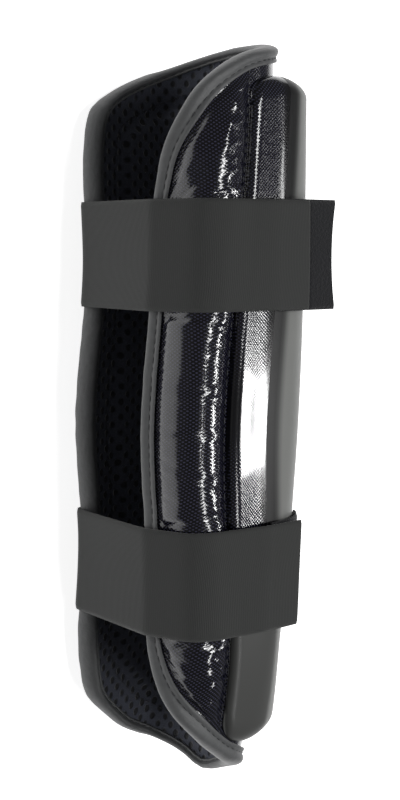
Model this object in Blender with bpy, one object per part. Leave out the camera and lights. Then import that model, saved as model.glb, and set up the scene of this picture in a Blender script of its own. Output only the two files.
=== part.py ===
"""Padded shin guard, strapped shut and lying on its far side.

A curved pad with a bound edge wraps the leg. A thick glossy block is sewn on its front,
and two elastic straps run right round it and bridge the open back.

The guard is worked out standing up: x to the front of the shin, y to the far side,
z from the ankle end to the knee end. It is then laid down on its far side.
"""
import bpy
import bmesh
import numpy as np
from math import pi, radians
from mathutils import Matrix

# Driving sizes in metres
GUARD_LENGTH = 0.355        # ankle tip to knee edge, without the binding
HOLLOW_SIDE = 0.0365        # middle of the hollow to its side wall
HOLLOW_FRONT = 0.0280       # middle of the hollow to the shin
HOLLOW_BACK = 0.0280        # middle of the hollow to the tucked flap
LINING_THICKNESS = 0.0025   # mesh lining at its margin
LINING_RAISE = 0.0030       # how far the quilted field of the lining stands into the hollow
PAD_EDGE = 0.0035           # cover at its seams and under the block
PAD_FULL = 0.0085           # cover in the middle of a flap
BLOCK_SIDE = 0.0475         # middle of the hollow to the near face of the block
BLOCK_FAR_SIDE = 0.0486     # the same to its far face, which lies on the ground
BLOCK_FRONT = 0.0512        # middle of the hollow to the nose of the block
BLOCK_EDGE = 0.0008         # block where it is sewn down
BLOCK_SIDE_ROUND = 0.0045   # rounding along the block's seams
BLOCK_END_ROUND = 0.0130    # rounding of the block's two ends
BINDING_REACH = 0.0050      # tape width on each face
BINDING_THICKNESS = 0.0012
BINDING_ROOM = 0.0018       # clearance between the tape and the faces that it grips
STRAP_WIDTH = 0.050
STRAP_THICKNESS = 0.0016
TAPE_THICKNESS = 0.0020
TAPE_WIDTH = STRAP_WIDTH + 0.001
UPPER_TAPE_LENGTH = 0.036
GAP = 0.0003                # clearance between pieces that touch
BLOCK_SEAT = 0.0009         # clearance under the block
STRAP_SEAT = 0.0009         # clearance under the straps

# Places along the guard, in shares of its length
UPPER_STRAP_AT = 0.728
LOWER_STRAP_AT = 0.3125
BLOCK_TOP = 0.958
BLOCK_BOTTOM = 0.079

BINDING_CLEAR = 0.0090      # from the rim to where a flap starts to swell
LINING_MARGIN = 0.0170      # from the rim to the quilted field of the lining
SEAM_GROOVE = 0.0030        # flat cover between the block's seam and a flap
FLAP_ROLL = 0.0100          # length over which a flap swells beside a seam or a binding

# The far side is pressed flat where the guard lies on it: share of its half width, and its easing
FLATTEN = 0.95
FLATTEN_EASE = 0.03

# Powers of the rounded outlines: 2 is an oval, more is squarer
FRONT_SQUARE = 2.3
NEAR_SQUARE = 3.5
FAR_SQUARE = 2.2
BLOCK_SQUARE = 3.0
BLOCK_FAR_SQUARE = 6.0
LEAN = 0.040                # length that the shares in the lean column multiply

BLOCK_CORNER = 0.060        # fall of the block's end at its corners, in shares of the length
BLOCK_CORNER_FROM = 0.62    # share of the half width where that fall starts

# The rounded outer edge of the binding, in shares of half its height
BEAD_NOSE = 0.75
BEAD_SHOULDER_OUT = 0.55
BEAD_SHOULDER_UP = 0.70

# A strap starts on the front and goes round the far side, back and near side.
# Its end leaves the near side straight ahead.
STRAP_START = radians(-30)
STRAP_LIFTS = radians(262)
STRAP_LEAVES = radians(284)
STRAP_TAIL = 0.017
LOWER_TAPE_END = radians(-38)

# Cross sections from the ankle end to the knee end. Each share multiplies its named size.
SECTION_COLUMNS = ("height", "lean", "front", "near_side", "far_side", "near_back", "far_back",
                   "near_wrap", "far_wrap", "block", "seam")
SECTIONS = (
    (0.00, -0.24, 0.64, 0.66, 0.92, 1.00, 1.78, 163, 123, 0.72, 0.60),
    (0.10, -0.18, 0.80, 0.85, 1.00, 1.00, 1.78, 164, 123, 0.75, 0.61),
    (0.22, -0.12, 0.90, 0.96, 1.06, 1.00, 1.78, 164, 123, 0.79, 0.625),
    (0.32, -0.09, 0.93, 0.98, 1.04, 1.00, 1.76, 165, 122, 0.86, 0.65),
    (0.50, -0.04, 0.98, 1.00, 1.05, 1.20, 2.00, 165, 124, 0.945, 0.665),
    (0.72, 0.00, 1.00, 1.01, 1.04, 1.00, 1.74, 165, 121, 0.98, 0.645),
    (0.88, 0.00, 1.00, 1.00, 1.07, 1.00, 1.78, 165, 123, 1.00, 0.585),
    (1.00, 0.00, 0.98, 1.00, 1.07, 1.00, 1.78, 165, 123, 1.00, 0.56),
)

# How far the rim is cut back from each end, in shares of the length
RIM_COLUMNS = ("around", "near_top", "far_top", "near_bottom", "far_bottom")
RIM = (
    (0.00, 0.000, 0.000, 0.010, 0.010),
    (0.25, 0.004, 0.008, 0.034, 0.026),
    (0.40, 0.013, 0.018, 0.050, 0.036),
    (0.55, 0.023, 0.031, 0.072, 0.051),
    (0.70, 0.042, 0.045, 0.098, 0.068),
    (0.80, 0.067, 0.057, 0.125, 0.086),
    (0.88, 0.108, 0.071, 0.153, 0.104),
    (0.95, 0.152, 0.095, 0.190, 0.130),
    (1.00, 0.215, 0.162, 0.230, 0.188),
)

# Mesh counts
SECTION_SAMPLES = 481
NORMAL_BLEND = 8             # samples each way that a normal is averaged over
FIELD_COLUMNS = 34
MARGIN_COLUMNS = (0.15, 0.45)   # places across the margin at a flap's edge
MARGIN_SHARE = 0.10
WALL_ROWS = 18
BLOCK_COLUMNS = 20
BLOCK_COLUMN_EASE = 0.45
BLOCK_ROWS = 16
BLOCK_ROW_EASE = 0.65
STRAP_STATIONS = 62
STRAP_ROWS = 3
TAPE_STATIONS = 7
OUTLINE_SAMPLES = 161
PATH_SAMPLES = 721
BEND_WEIGHT = 0.02           # length that a turn of one radian counts as, in placing stations
RIM_SIDE_STATIONS = 14
HALVINGS = 30                # steps that home in on the block's depth

guard = bpy.data.collections.new("shin_guard")


def clear_scene():
    for item in list(bpy.data.objects):
        bpy.data.objects.remove(item, do_unlink=True)


def read_table(rows, columns, name, share):
    """Smooth value of one named column at a share of the way."""
    values = np.array(rows, dtype=float)
    places = values[:, 0]
    column = values[:, columns.index(name)]
    slopes = np.gradient(column, places)
    i = np.clip(np.searchsorted(places, share, side="right") - 1, 0, len(places) - 2)
    step = places[i + 1] - places[i]
    t = np.clip((share - places[i]) / step, 0.0, 1.0)
    start = (2 * t ** 3 - 3 * t ** 2 + 1) * column[i] + (t ** 3 - 2 * t ** 2 + t) * step * slopes[i]
    end = (3 * t ** 2 - 2 * t ** 3) * column[i + 1] + (t ** 3 - t ** 2) * step * slopes[i + 1]
    return start + end


def section_value(height, name):
    return read_table(SECTIONS, SECTION_COLUMNS, name, height / GUARD_LENGTH)


def smooth_step(value):
    t = np.clip(value, 0.0, 1.0)
    return t * t * (3 - 2 * t)


def eased_limit(values, limit, ease):
    """Values held under a limit, with a soft turn into it."""
    mix = np.clip(0.5 + 0.5 * (limit - values) / ease, 0.0, 1.0)
    return limit * (1 - mix) + values * mix - ease * mix * (1 - mix)


class Section:
    """The hollow's outline at one height, from the near flap's edge round to the far one's."""

    def __init__(self, height):
        self.height = height
        near_wrap = section_value(height, "near_wrap")
        far_wrap = section_value(height, "far_wrap")
        turn = np.radians(np.linspace(-near_wrap, far_wrap, SECTION_SAMPLES))
        across, along = np.sin(turn), np.cos(turn)
        near = across < 0
        ahead = along > 0
        square = np.where(ahead, FRONT_SQUARE, np.where(near, NEAR_SQUARE, FAR_SQUARE))
        near_back = HOLLOW_BACK * section_value(height, "near_back")
        far_back = HOLLOW_BACK * section_value(height, "far_back")
        deep = np.where(ahead, HOLLOW_FRONT * section_value(height, "front"),
                        np.where(near, near_back, far_back))
        near_side = HOLLOW_SIDE * section_value(height, "near_side")
        far_side = HOLLOW_SIDE * section_value(height, "far_side")
        self.lean = LEAN * section_value(height, "lean")
        x = deep * np.sign(along) * np.abs(along) ** (2 / square) + self.lean
        y = np.where(near, near_side, far_side) * np.sign(across) * np.abs(across) ** (2 / square)
        y = eased_limit(y, FLATTEN * far_side, FLATTEN_EASE * far_side)
        self.points = np.column_stack((x, y))
        steps = np.linalg.norm(np.diff(self.points, axis=0), axis=1)
        travelled = np.concatenate(((0.0,), np.cumsum(steps)))
        self.near_arc = np.interp(0.0, turn, travelled)
        self.far_arc = travelled[-1] - self.near_arc
        signed = travelled - self.near_arc
        self.shares = np.where(signed < 0, signed / self.near_arc, signed / self.far_arc)
        places = np.arange(SECTION_SAMPLES)
        after = self.points[np.minimum(places + NORMAL_BLEND, SECTION_SAMPLES - 1)]
        before = self.points[np.maximum(places - NORMAL_BLEND, 0)]
        heading = (after - before) / np.linalg.norm(after - before, axis=1)[:, None]
        self.normals = np.column_stack((heading[:, 1], -heading[:, 0]))

    def arc(self, around):
        """Signed length round the wall from the nose."""
        return around * np.where(np.asarray(around) < 0, self.near_arc, self.far_arc)

    def point(self, around, depth):
        """Points at a share around and a depth out from the hollow."""
        pick = [np.interp(around, self.shares, data) for data in
                (self.points[:, 0], self.points[:, 1], self.normals[:, 0], self.normals[:, 1])]
        length = np.hypot(pick[2], pick[3])
        x = pick[0] + pick[2] / length * depth
        y = pick[1] + pick[3] / length * depth
        return np.column_stack(np.broadcast_arrays(x, y, self.height))


def rim_height(around, end):
    side = "near_" if around < 0 else "far_"
    cut = read_table(RIM, RIM_COLUMNS, side + end, abs(around))
    return GUARD_LENGTH * ((1 - cut) if end == "top" else cut)


def wall_columns():
    """Shares around the wall, closer together in the margins at the flaps' edges."""
    field = np.linspace(MARGIN_SHARE - 1.0, 1.0 - MARGIN_SHARE, FIELD_COLUMNS + 1)
    edge = np.array([1.0] + [1.0 - MARGIN_SHARE * place for place in MARGIN_COLUMNS])
    return np.concatenate((-edge, field, edge[::-1]))


def wall_rows(length):
    """Shares up a column, with a row just past the binding at each end."""
    margin = (BINDING_REACH + BINDING_THICKNESS + FLAP_ROLL / 4) / length
    field = np.linspace(margin, 1.0 - margin, WALL_ROWS - 1)
    return np.concatenate(((0.0,), field, (1.0,)))


def eased(count, ease):
    """Shares from -1 to 1, closer together towards the ends."""
    steps = np.linspace(-1.0, 1.0, count + 1)
    return (1 - ease) * steps + ease * np.sin(steps * pi / 2)


def rim_stations():
    """The rim as (share around, height), once round, starting at the near flap's lower corner."""
    around = wall_columns()
    bottom = [(u, rim_height(u, "bottom")) for u in around]
    top = [(u, rim_height(u, "top")) for u in around[::-1]]
    rise = np.linspace(0.0, 1.0, RIM_SIDE_STATIONS + 1)[1:-1]
    far = [(1.0, bottom[-1][1] + t * (top[0][1] - bottom[-1][1])) for t in rise]
    near = [(-1.0, top[-1][1] + t * (bottom[0][1] - top[-1][1])) for t in rise]
    return np.array(bottom + far + top + near)


def flat_place(stations):
    """Rim stations on the unrolled wall: signed arc and height."""
    arcs = [float(Section(z).arc(u)) for u, z in stations]
    return np.column_stack((arcs, stations[:, 1]))


RIM_STATIONS = rim_stations()
RIM_FLAT = flat_place(RIM_STATIONS)


def rim_inset(arc, height):
    """Distance on the unrolled wall from a place to the rim."""
    start = RIM_FLAT
    run = np.roll(RIM_FLAT, -1, axis=0) - start
    place = np.array((arc, height)) - start
    share = np.clip((place * run).sum(axis=1) / (run * run).sum(axis=1), 0.0, 1.0)
    return np.linalg.norm(place - run * share[:, None], axis=1).min()


def cover_depth(section, around, inset):
    """Cover thickness: thin at the rim and under the block, full in the flaps."""
    seam = section_value(section.height, "seam")
    past_seam = abs(float(section.arc(around))) - abs(float(section.arc(np.sign(around) * seam)))
    past_binding = inset - BINDING_CLEAR
    swell = smooth_step((past_seam - SEAM_GROOVE) / FLAP_ROLL) * smooth_step(past_binding / FLAP_ROLL)
    return PAD_EDGE + (PAD_FULL - PAD_EDGE) * float(swell)


def wall_layer(height, around):
    """Depths of the lining's two faces and the cover's outer face at one place."""
    section = Section(height)
    inset = rim_inset(float(section.arc(around)), height)
    raised = LINING_RAISE * float(smooth_step((inset - LINING_MARGIN) / LINING_RAISE))
    cover_from = LINING_THICKNESS + GAP
    cover_to = cover_from + cover_depth(section, around, inset)
    return section, (-raised, LINING_THICKNESS, cover_from, cover_to)


def wall_grids():
    """Four grids of points: both faces of the lining, then both faces of the cover."""
    arounds = wall_columns()
    grids = np.zeros((4, WALL_ROWS + 1, len(arounds), 3))
    for j, around in enumerate(arounds):
        bottom, top = rim_height(around, "bottom"), rim_height(around, "top")
        for i, row in enumerate(wall_rows(top - bottom)):
            section, depths = wall_layer(bottom + row * (top - bottom), around)
            for k, depth in enumerate(depths):
                grids[k, i, j] = section.point(around, depth)[0]
    return grids


def block_height(turn, end):
    """Height of the block's end at a share of its half width, with rounded corners."""
    past = max(0.0, (abs(turn) - BLOCK_CORNER_FROM) / (1 - BLOCK_CORNER_FROM))
    drop = BLOCK_CORNER * GUARD_LENGTH * (1 - (1 - past ** 2) ** 0.5)
    return GUARD_LENGTH * BLOCK_TOP - drop if end == "top" else GUARD_LENGTH * BLOCK_BOTTOM + drop


def block_reach(section, place, normal):
    """Depth from a point on the cover out to the block's own oval."""
    front = BLOCK_FRONT * section_value(section.height, "block")
    near_side = BLOCK_SIDE + HOLLOW_SIDE * (section_value(section.height, "near_side") - 1)
    far_side = BLOCK_FAR_SIDE + HOLLOW_SIDE * (section_value(section.height, "far_side") * FLATTEN - 1)
    low, high = 0.0, BLOCK_FRONT
    for _ in range(HALVINGS):
        middle = (low + high) / 2
        x = place[0] + normal[0] * middle - section.lean
        y = place[1] + normal[1] * middle
        side, square = (near_side, BLOCK_SQUARE) if y < 0 else (far_side, BLOCK_FAR_SQUARE)
        outside = (max(x, 0.0) / front) ** square + (abs(y) / side) ** square > 1
        low, high = (low, middle) if outside else (middle, high)
    return low


def block_thickness(section, around, turn):
    """Thickness of the block at a share of its half width, rounded down to its seams."""
    inner, outer = (section.point(around, depth)[0] for depth in (0.0, 1.0))
    normal = outer - inner
    base = LINING_THICKNESS + PAD_EDGE + GAP + BLOCK_SEAT
    full = block_reach(section, inner + normal * base, normal)
    seam = section_value(section.height, "seam")
    side_inset = (1 - abs(turn)) * abs(float(section.arc(seam if turn >= 0 else -seam)))
    ends = (block_height(turn, "top") - section.height, section.height - block_height(turn, "bottom"))
    side_bend = max(0.0, 1 - side_inset / BLOCK_SIDE_ROUND)
    end_bend = max(0.0, 1 - min(ends) / BLOCK_END_ROUND)
    bend = min(1.0, side_bend ** 2 + end_bend ** 2)
    return base, BLOCK_EDGE + max(0.0, full - BLOCK_EDGE) * (1 - bend) ** 0.5


def block_grids():
    turns = eased(BLOCK_COLUMNS, BLOCK_COLUMN_EASE)
    rows = (1 + eased(BLOCK_ROWS, BLOCK_ROW_EASE)) / 2
    grids = np.zeros((2, BLOCK_ROWS + 1, BLOCK_COLUMNS + 1, 3))
    for j, turn in enumerate(turns):
        bottom, top = block_height(turn, "bottom"), block_height(turn, "top")
        for i, row in enumerate(rows):
            section = Section(bottom + row * (top - bottom))
            around = turn * section_value(section.height, "seam")
            base, thickness = block_thickness(section, around, turn)
            grids[0, i, j] = section.point(around, base)[0]
            grids[1, i, j] = section.point(around, base + thickness)[0]
    return grids


def convex_outline(points):
    """Corners of the tightest band round a set of points, anticlockwise."""
    ordered = sorted(set(map(tuple, np.round(points, 7))))

    def half(sequence):
        chain = []
        for point in sequence:
            while len(chain) > 1 and cross(chain[-2], chain[-1], point) <= 0:
                chain.pop()
            chain.append(point)
        return chain[:-1]

    return np.array(half(ordered) + half(ordered[::-1]))


def cross(a, b, c):
    return (b[0] - a[0]) * (c[1] - a[1]) - (b[1] - a[1]) * (c[0] - a[0])


def body_outline(height):
    """What a strap lies on at one height: the flaps, their binding and the block."""
    section = Section(height)
    seam = section_value(height, "seam")
    points = []
    for around in np.linspace(-1.0, 1.0, OUTLINE_SAMPLES):
        arc = float(section.arc(around))
        inset = rim_inset(arc, height)
        if abs(around) <= seam:
            base, thickness = block_thickness(section, around, around / seam)
            points.append(section.point(around, base + thickness)[0, :2])
            continue
        depth = LINING_THICKNESS + GAP + cover_depth(section, around, inset)
        points.append(section.point(around, depth)[0, :2])
    for inset, depth in binding_profile():
        points.append(past_edge(section, inset / section.near_arc - 1.0, depth)[:2])
        points.append(past_edge(section, 1.0 - inset / section.far_arc, depth)[:2])
    return convex_outline(np.array(points)), section.lean


class Band:
    """A tight path round the body at one height, by the angle about the hollow."""

    def __init__(self, height):
        outline, self.lean = body_outline(height)
        centred = outline - (self.lean, 0.0)
        bearing = np.unwrap(np.arctan2(centred[:, 1], centred[:, 0]))
        closed = np.vstack((centred, centred[:1]))
        bearing = np.append(bearing, bearing[0] + 2 * pi)
        self.angles = np.linspace(STRAP_START, STRAP_START + 2 * pi, PATH_SAMPLES)
        turned = (self.angles - bearing[0]) % (2 * pi) + bearing[0]
        self.places = np.column_stack([np.interp(turned, bearing, closed[:, k]) for k in (0, 1)])
        heading = np.gradient(self.places, axis=0)
        length = np.linalg.norm(heading, axis=1)
        self.out = np.column_stack((heading[:, 1], -heading[:, 0])) / length[:, None]
        bend = np.abs(np.gradient(np.unwrap(np.arctan2(heading[:, 1], heading[:, 0]))))
        self.measure = np.cumsum(length + BEND_WEIGHT * bend)

    def spaced(self, start, end, count):
        """Angles from start to end, closer together where the path bends."""
        ends = np.interp((start, end), self.angles, self.measure)
        return np.interp(np.linspace(ends[0], ends[1], count), self.measure, self.angles)

    def point(self, angles, depths):
        turned = (np.asarray(angles) - STRAP_START) % (2 * pi) + STRAP_START
        place, out = (np.column_stack([np.interp(turned, self.angles, data[:, k]) for k in (0, 1)])
                      for data in (self.places, self.out))
        out /= np.linalg.norm(out, axis=1)[:, None]
        return place + (self.lean, 0.0) + out * np.reshape(depths, (-1, 1))


def strap_faces(height):
    """Inner and outer faces of a strap at one height."""
    band = Band(height)
    angles = band.spaced(STRAP_START, STRAP_LEAVES, STRAP_STATIONS - 2)
    lift = (TAPE_THICKNESS + GAP) * smooth_step((angles - STRAP_LIFTS) / (STRAP_LEAVES - STRAP_LIFTS))
    faces = [band.point(angles, STRAP_SEAT + lift + extra) for extra in (0.0, STRAP_THICKNESS)]
    tail = np.array((STRAP_TAIL, 0.0))
    return [np.vstack((face, face[-1] + tail / 2, face[-1] + tail)) for face in faces]


def strap_heights(centre, width):
    return GUARD_LENGTH * centre + width * np.linspace(-0.5, 0.5, STRAP_ROWS)


def at_height(points, height):
    return np.column_stack((points, np.full(len(points), height)))


def strap_grids(centre):
    pairs = [(strap_faces(height), height) for height in strap_heights(centre, STRAP_WIDTH)]
    inner = np.array([at_height(faces[0], height) for faces, height in pairs])
    outer = np.array([at_height(faces[1], height) for faces, height in pairs])
    return inner, outer


def tape_grids(centre, follow):
    """The closure tape under a strap's end: straight ahead, or bent round the block."""
    inner, outer = [], []
    for height in strap_heights(centre, TAPE_WIDTH):
        band = Band(height)
        if follow:
            angles = band.spaced(STRAP_LEAVES, LOWER_TAPE_END + 2 * pi, TAPE_STATIONS)
            faces = [band.point(angles, STRAP_SEAT + extra) for extra in (0.0, TAPE_THICKNESS)]
        else:
            ahead = np.linspace(0.0, UPPER_TAPE_LENGTH, TAPE_STATIONS)
            faces = []
            for extra in (0.0, TAPE_THICKNESS):
                root = band.point([STRAP_LEAVES], STRAP_SEAT + extra)[0]
                faces.append(root + np.column_stack((ahead, 0 * ahead)))
        inner.append(at_height(faces[0], height))
        outer.append(at_height(faces[1], height))
    return np.array(inner), np.array(outer)


def binding_profile():
    """Tape round the rim, as (inset from the rim, depth) pairs going once round."""
    low, high = -GAP, LINING_THICKNESS + PAD_EDGE + 2 * GAP
    face_low, face_high = low - BINDING_ROOM, high + BINDING_ROOM
    skin = BINDING_THICKNESS
    middle = (low + high) / 2
    bead = (high - low) / 2 + BINDING_ROOM
    return (
        (BINDING_REACH, face_high), (BINDING_REACH, face_high + skin),
        (0.0, face_high + skin),
        (-bead * BEAD_SHOULDER_OUT, middle + bead * BEAD_SHOULDER_UP),
        (-bead * BEAD_NOSE, middle),
        (-bead * BEAD_SHOULDER_OUT, middle - bead * BEAD_SHOULDER_UP),
        (0.0, face_low - skin),
        (BINDING_REACH, face_low - skin), (BINDING_REACH, face_low),
        (-BINDING_ROOM, face_low), (-BINDING_ROOM, face_high),
    )


def binding_rings():
    """One ring of profile points for each rim station."""
    ahead = np.roll(RIM_FLAT, -1, axis=0) - np.roll(RIM_FLAT, 1, axis=0)
    ahead /= np.linalg.norm(ahead, axis=1)[:, None]
    inward = np.column_stack((-ahead[:, 1], ahead[:, 0]))
    rings = []
    for place, aim in zip(RIM_FLAT, inward):
        ring = []
        for inset, depth in binding_profile():
            arc, height = place + aim * inset
            section = Section(height)
            around = arc / (section.near_arc if arc < 0 else section.far_arc)
            ring.append(past_edge(section, around, depth))
        rings.append(ring)
    return np.array(rings)


def past_edge(section, around, depth):
    """A wall point that may lie past a flap's edge, straight on from it."""
    held = float(np.clip(around, -1.0, 1.0))
    point = section.point(held, depth)[0]
    if held == around:
        return point
    run = float(section.arc(around)) - float(section.arc(held))
    ahead = section.point(held, 0.0)[0] - section.point(held * 0.98, 0.0)[0]
    return point + ahead / np.linalg.norm(ahead) * abs(run)


def add_object(name, mesh, colour, roughness):
    material = bpy.data.materials.new(name)
    material.use_nodes = True
    shader = material.node_tree.nodes["Principled BSDF"]
    shader.inputs["Base Color"].default_value = (*colour, 1.0)
    shader.inputs["Roughness"].default_value = roughness
    shader.inputs["Metallic"].default_value = 0.0
    mesh.materials.append(material)
    piece = bpy.data.objects.new(name, mesh)
    guard.objects.link(piece)
    return piece


def close_mesh(name, build):
    """A mesh from a bmesh, with its doubles welded and its faces turned outwards."""
    bmesh.ops.remove_doubles(build, verts=build.verts, dist=1e-6)
    bmesh.ops.recalc_face_normals(build, faces=build.faces)
    mesh = bpy.data.meshes.new(name)
    build.to_mesh(mesh)
    build.free()
    mesh.shade_smooth()
    mesh.set_sharp_from_angle(angle=radians(40))
    return mesh


def sheet_mesh(name, inner, outer):
    """A closed sheet between two grids of points, with its four sides filled."""
    build = bmesh.new()
    rows, columns = inner.shape[:2]
    faces = [[[build.verts.new(point) for point in row] for row in grid] for grid in (inner, outer)]
    for i in range(rows - 1):
        for j in range(columns - 1):
            for face in faces:
                build.faces.new((face[i][j], face[i][j + 1], face[i + 1][j + 1], face[i + 1][j]))
    border = [(0, j) for j in range(columns)] + [(i, columns - 1) for i in range(1, rows)]
    border += [(rows - 1, j) for j in range(columns - 2, -1, -1)] + [(i, 0) for i in range(rows - 2, 0, -1)]
    for (i, j), (k, m) in zip(border, border[1:] + border[:1]):
        build.faces.new((faces[0][i][j], faces[0][k][m], faces[1][k][m], faces[1][i][j]))
    return close_mesh(name, build)


def ring_mesh(name, rings):
    """A closed loop of like rings."""
    build = bmesh.new()
    loops = [[build.verts.new(point) for point in ring] for ring in rings]
    for loop, after in zip(loops, loops[1:] + loops[:1]):
        for k in range(len(loop)):
            m = (k + 1) % len(loop)
            build.faces.new((loop[k], loop[m], after[m], after[k]))
    return close_mesh(name, build)


def make_wall():
    lining_in, lining_out, cover_in, cover_out = wall_grids()
    return [
        add_object("mesh_lining", sheet_mesh("mesh_lining", lining_in, lining_out), (0.02, 0.02, 0.024), 0.9),
        add_object("cover_pad", sheet_mesh("cover_pad", cover_in, cover_out), (0.02, 0.02, 0.022), 0.3),
    ]


def make_block():
    inner, outer = block_grids()
    return add_object("front_panel", sheet_mesh("front_panel", inner, outer), (0.02, 0.02, 0.02), 0.2)


def make_binding():
    return add_object("edge_binding", ring_mesh("edge_binding", binding_rings()), (0.08, 0.08, 0.085), 0.7)


def make_strap(name, centre):
    return add_object(name, sheet_mesh(name, *strap_grids(centre)), (0.035, 0.035, 0.037), 0.9)


def make_tape(name, centre, follow):
    return add_object(name, sheet_mesh(name, *tape_grids(centre, follow)), (0.02, 0.021, 0.024), 0.95)


def lay_down(pieces):
    """Front to +Y, far side down and knee end to -X, with the middle of the base at the origin."""
    root = bpy.data.objects.new("lying_guard", None)
    guard.objects.link(root)
    turn = Matrix(((0, 0, -1), (1, 0, 0), (0, -1, 0))).to_4x4()
    corners = np.array([turn @ vertex.co for piece in pieces for vertex in piece.data.vertices])
    low, high = corners.min(axis=0), corners.max(axis=0)
    middle = (low + high) / 2
    root.matrix_world = Matrix.Translation((-middle[0], -middle[1], -low[2])) @ turn
    for piece in pieces:
        piece.parent = root


def main():
    clear_scene()
    bpy.context.scene.collection.children.link(guard)
    pieces = make_wall()
    pieces.append(make_block())
    pieces.append(make_binding())
    pieces.append(make_strap("upper_strap", UPPER_STRAP_AT))
    pieces.append(make_strap("lower_strap", LOWER_STRAP_AT))
    pieces.append(make_tape("upper_closure_tape", UPPER_STRAP_AT, False))
    pieces.append(make_tape("lower_closure_tape", LOWER_STRAP_AT, True))
    lay_down(pieces)


main()
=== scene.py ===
"""A padded shin guard lying on its far side, with its straps fastened.

Sizes are in metres. The guard is worked out standing up, with x to the front of the shin,
y to the far side and z from the ankle end to the knee end, and is then laid down.
"""
import bpy
import numpy as np
from math import pi, radians, atan
from mathutils import Matrix, Vector


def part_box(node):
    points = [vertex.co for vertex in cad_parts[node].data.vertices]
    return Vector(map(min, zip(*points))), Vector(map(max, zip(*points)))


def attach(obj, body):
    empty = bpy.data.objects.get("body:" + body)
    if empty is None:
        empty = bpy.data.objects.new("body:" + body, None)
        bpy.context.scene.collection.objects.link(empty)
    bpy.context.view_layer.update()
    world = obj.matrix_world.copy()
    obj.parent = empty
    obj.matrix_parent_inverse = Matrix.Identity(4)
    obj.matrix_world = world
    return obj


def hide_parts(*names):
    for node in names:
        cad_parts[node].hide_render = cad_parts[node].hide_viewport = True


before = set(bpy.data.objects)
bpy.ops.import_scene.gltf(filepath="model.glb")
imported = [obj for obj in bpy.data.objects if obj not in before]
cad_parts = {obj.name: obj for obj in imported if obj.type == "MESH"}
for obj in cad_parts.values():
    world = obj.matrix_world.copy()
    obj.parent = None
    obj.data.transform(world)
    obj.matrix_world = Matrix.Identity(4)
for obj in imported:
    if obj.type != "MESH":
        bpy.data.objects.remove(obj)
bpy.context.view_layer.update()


# The inside of the guard is a lining of black air mesh, a knitted cloth with rows of small
# holes. A foam field is quilted under it, and stands up 3 mm inside a flat margin that runs
# under the bound edge. Its outline sets the shape of every other layer.
GUARD_LENGTH = 0.355
HOLLOW_SIDE = 0.0365
HOLLOW_FRONT = 0.0280
HOLLOW_BACK = 0.0280
LINING_THICKNESS = 0.0025
LINING_RAISE = 0.0030
LINING_MARGIN = 0.0170
GAP = 0.0003
FLATTEN = 0.95
FLATTEN_EASE = 0.03
FRONT_SQUARE = 2.3
NEAR_SQUARE = 3.5
FAR_SQUARE = 2.2
LEAN = 0.040

# Cross sections from the ankle end up. Each share multiplies its named size.
SECTION_COLUMNS = ("height", "lean", "front", "near_side", "far_side", "near_back", "far_back",
                   "near_wrap", "far_wrap", "block", "seam")
SECTIONS = (
    (0.00, -0.24, 0.64, 0.66, 0.92, 1.00, 1.78, 163, 123, 0.77, 0.60),
    (0.10, -0.18, 0.80, 0.85, 1.00, 1.00, 1.78, 164, 123, 0.79, 0.61),
    (0.22, -0.12, 0.90, 0.96, 1.06, 1.00, 1.78, 164, 123, 0.79, 0.625),
    (0.32, -0.09, 0.93, 0.98, 1.04, 1.00, 1.76, 165, 122, 0.86, 0.65),
    (0.50, -0.04, 0.98, 1.00, 1.05, 1.20, 2.00, 165, 124, 0.945, 0.665),
    (0.72, 0.00, 1.00, 1.01, 1.04, 1.00, 1.74, 165, 121, 0.98, 0.645),
    (0.88, 0.00, 1.00, 1.00, 1.07, 1.00, 1.78, 165, 123, 1.00, 0.585),
    (1.00, 0.00, 0.98, 1.00, 1.07, 1.00, 1.78, 165, 123, 1.00, 0.56),
)

# How far the rim is cut back from each end, in shares of the length
RIM_COLUMNS = ("around", "near_top", "far_top", "near_bottom", "far_bottom")
RIM = (
    (0.00, 0.000, 0.000, 0.010, 0.010),
    (0.25, 0.004, 0.008, 0.034, 0.027),
    (0.40, 0.013, 0.018, 0.050, 0.036),
    (0.55, 0.023, 0.031, 0.072, 0.049),
    (0.70, 0.042, 0.045, 0.098, 0.066),
    (0.80, 0.067, 0.057, 0.125, 0.086),
    (0.88, 0.108, 0.071, 0.153, 0.104),
    (0.95, 0.152, 0.095, 0.190, 0.130),
    (1.00, 0.215, 0.162, 0.230, 0.188),
)

TURN_SAMPLES = 721
SHARE_SAMPLES = 601
HEIGHT_SAMPLES = 241
WALL_EASE = 11


def read_table(rows, columns, name, share):
    """Smooth values of one named column at shares of the way."""
    values = np.array(rows, dtype=float)
    places = values[:, 0]
    column = values[:, columns.index(name)]
    slopes = np.gradient(column, places)
    i = np.clip(np.searchsorted(places, share, side="right") - 1, 0, len(places) - 2)
    step = places[i + 1] - places[i]
    t = np.clip((share - places[i]) / step, 0.0, 1.0)
    start = (2 * t ** 3 - 3 * t ** 2 + 1) * column[i] + (t ** 3 - 2 * t ** 2 + t) * step * slopes[i]
    end = (3 * t ** 2 - 2 * t ** 3) * column[i + 1] + (t ** 3 - t ** 2) * step * slopes[i + 1]
    return start + end


def section_value(height, name):
    return read_table(SECTIONS, SECTION_COLUMNS, name, np.asarray(height) / GUARD_LENGTH)


def smooth_step(value):
    t = np.clip(value, 0.0, 1.0)
    return t * t * (3 - 2 * t)


def smoothed(values, ease, before, after):
    """Columns of values averaged with their neighbours, given the rows that stand before and after."""
    padded = np.vstack((before, values, after))
    return np.column_stack([np.convolve(padded[:, k], ease / ease.sum(), "valid") for k in (0, 1)])


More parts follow.
